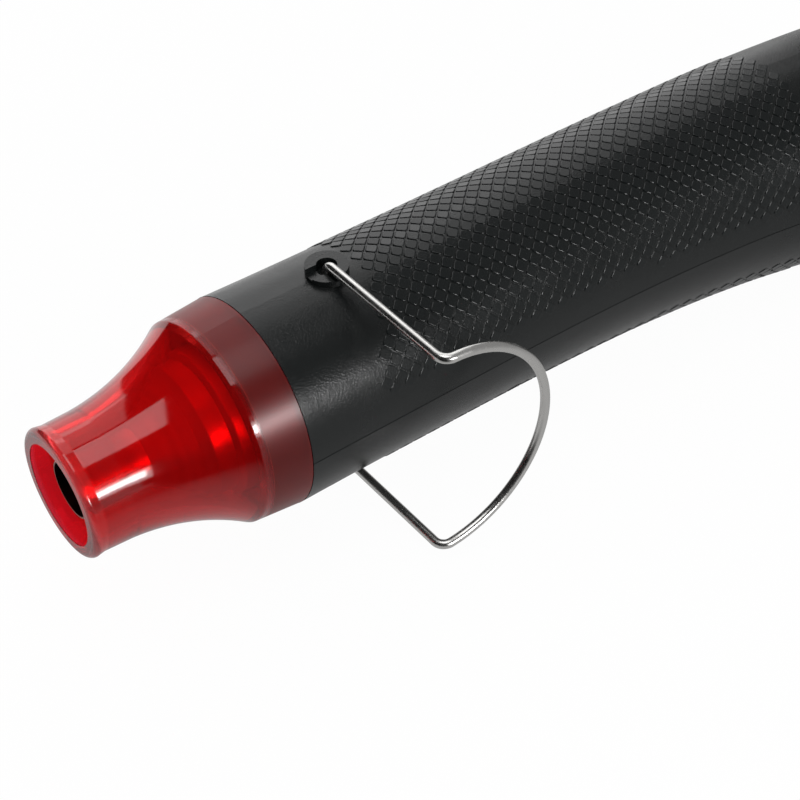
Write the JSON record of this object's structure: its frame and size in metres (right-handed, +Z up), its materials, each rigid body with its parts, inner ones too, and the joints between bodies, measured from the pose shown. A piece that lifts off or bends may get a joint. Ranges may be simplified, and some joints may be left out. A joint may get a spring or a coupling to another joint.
{
  "type": "embossing heat tool",
  "caption": "Slim hand-held heat tool with a see-through red nozzle, curved black grip handle, folding wire stand, rocker switch and cord inlet.",
  "frame": {"origin": "under the middle of the whole tool, on the surface it lies on with its left side up", "axes": "+X from the nozzle to the tail, +Y from the belly to the back of the handle, +Z up out of the left shell"},
  "size_m": [0.2384, 0.0575, 0.0504],
  "materials": {
    "nozzle_red": "see-through deep red moulding, glossy",
    "shroud_steel": "drawn steel, faintly turned",
    "housing_black": "satin black, spark texture and raised grip squares",
    "stand_steel": "polished stainless wire",
    "mica": "pale brown mica board",
    "resistance_wire": "oxidised resistance wire",
    "ceramic": "unglazed off-white ceramic",
    "cutout_body": "glazed cream body",
    "fan_plastic": "black moulding",
    "motor_steel": "zinc plated, satin",
    "bush_brass": "turned brass",
    "mount_plastic": "black moulding",
    "board": "bare brown board",
    "diode_black": "black epoxy",
    "lead_cover": "woven glass sleeve on wire",
    "switch_black": "glossy black moulding",
    "screw_steel": "blackened steel",
    "bush_rubber": "black soft moulding"
  },
  "bodies": {
    "housing": {"nozzle": "nozzle_red", "outlet_tube": "shroud_steel", "left_housing": "housing_black", "right_housing": "housing_black", "mica_sleeve": "mica", "mica_plate_a": "mica", "mica_plate_b": "mica", "heating_coil": "resistance_wire", "element_holder": "ceramic", "thermal_cutout": "cutout_body", "motor_bush": "bush_brass", "motor_can": "motor_steel", "motor_end_cap": "mount_plastic", "motor_mount": "mount_plastic", "circuit_board": "board", "rectifier_diodes": "diode_black", "heater_leads": "lead_cover", "switch_leads": "lead_cover", "switch_frame": "switch_black", "switch_terminals": "bush_brass", "housing_screws": "screw_steel", "cord_clamp": "mount_plastic", "clamp_screws": "screw_steel", "inlet_bush": "bush_rubber"},
    "stand": {"stand_wire": "stand_steel"},
    "rotor": {"fan": "fan_plastic", "motor_shaft": "motor_steel"},
    "rocker": {"rocker": "switch_black"}
  },
  "joints": [
    {"name": "stand_fold", "type": "hinge", "parent": "housing", "child": "stand", "pos_m": [-0.0635, 0.00882, 0.02475], "axis": [0, 0, 1], "range_deg": [-90, 0]},
    {"name": "rocker_tip", "type": "hinge", "parent": "housing", "child": "rocker", "pos_m": [0.0648, 0.02202, 0.02475], "axis": [0, 0, 1], "range_deg": [-18, 0]},
    {"name": "rotor_spin", "type": "hinge", "parent": "housing", "child": "rotor", "pos_m": [-0.0212, 0.00882, 0.02475], "axis": [1, 0, 0], "continuous": true}
  ]
}
